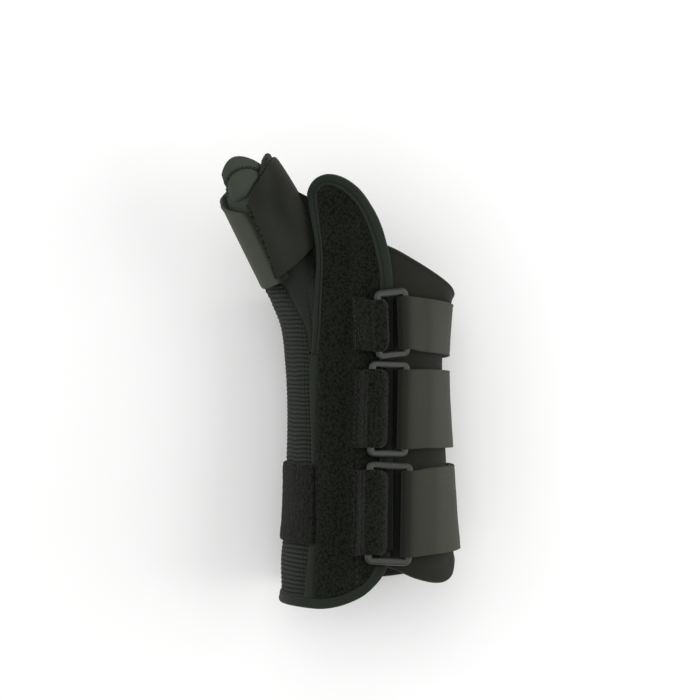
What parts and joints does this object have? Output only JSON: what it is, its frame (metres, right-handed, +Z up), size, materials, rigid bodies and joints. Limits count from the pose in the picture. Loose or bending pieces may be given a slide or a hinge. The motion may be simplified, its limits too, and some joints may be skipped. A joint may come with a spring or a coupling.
{
  "type": "thumb spica splint",
  "caption": "Padded wrist and thumb splint for the right hand, with a plush thumb-side panel, ribbed palm, thumb channel, elastic straps and plastic loops",
  "frame": {"origin": "on the ground, under the middle of the splint's box as it lies on its little-finger side", "axes": "+Y from the forearm towards the fingertips, +X towards the back of the hand, +Z up, towards the thumb side"},
  "size_m": [0.1172, 0.2154, 0.0871],
  "materials": {
    "plush": "matt looped plush",
    "binding": "smooth matt binding tape",
    "ribbed_elastic": "fine ribbed elastic",
    "pad_cloth": "smooth padded cloth",
    "channel_cloth": "smooth padded cloth",
    "thumb_strap_cloth": "smooth brushed loop cloth",
    "loop_plastic": "satin moulded plastic",
    "strap_elastic": "woven elastic webbing"
  },
  "bodies": {
    "root": {"thumb_side_panel": "plush", "panel_binding": "binding", "hem_binding": "binding", "palm_panel": "ribbed_elastic", "edge_strip": "binding", "palm_band": "plush", "back_pad": "pad_cloth", "thumb_channel": "channel_cloth", "thumb_stay_pocket": "channel_cloth", "thumb_strap": "thumb_strap_cloth", "hand_ring": "loop_plastic", "wrist_ring": "loop_plastic", "forearm_ring": "loop_plastic", "hand_tab": "plush", "wrist_tab": "plush", "forearm_tab": "plush", "hand_strap": "strap_elastic", "wrist_strap": "strap_elastic", "forearm_strap": "strap_elastic"}
  },
  "joints": []
}
